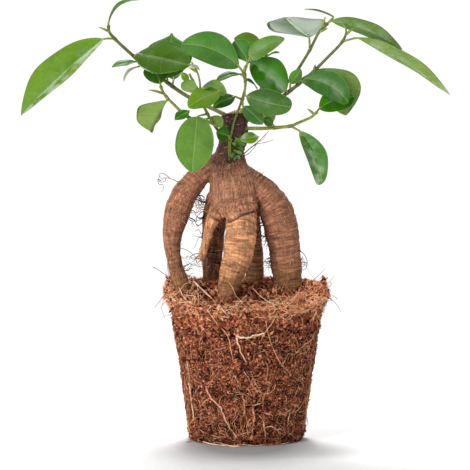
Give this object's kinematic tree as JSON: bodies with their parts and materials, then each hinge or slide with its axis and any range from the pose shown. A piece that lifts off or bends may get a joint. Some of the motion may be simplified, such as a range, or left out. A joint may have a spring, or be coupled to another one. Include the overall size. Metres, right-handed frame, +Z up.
{
  "type": "ginseng ficus with bare root ball",
  "caption": "Small indoor tree with a sawn trunk on thick standing roots, leafy grafted stems, and a tapered coir root ball that it stands on.",
  "frame": {"origin": "middle of the root ball's flat base", "axes": "+Z up along the plant, +X to the right and +Y away from a viewer who faces its front"},
  "size_m": [0.3065, 0.1163, 0.3176],
  "materials": {
    "coir": "matted coir fibre and pale roots, rough and dry",
    "bark": "smooth brown bark with fine wrinkles and pale pores",
    "foliage": "waxy green leaf, paler below, on green stems"
  },
  "bodies": {
    "root": {"root_ball": "coir", "trunk_and_roots": "bark", "stem_left_high": "foliage", "stem_left_low": "foliage", "stem_front_left": "foliage", "stem_front": "foliage", "stem_right_upper": "foliage", "stem_right_top": "foliage", "stem_right_low": "foliage", "stem_back": "foliage"}
  },
  "joints": []
}
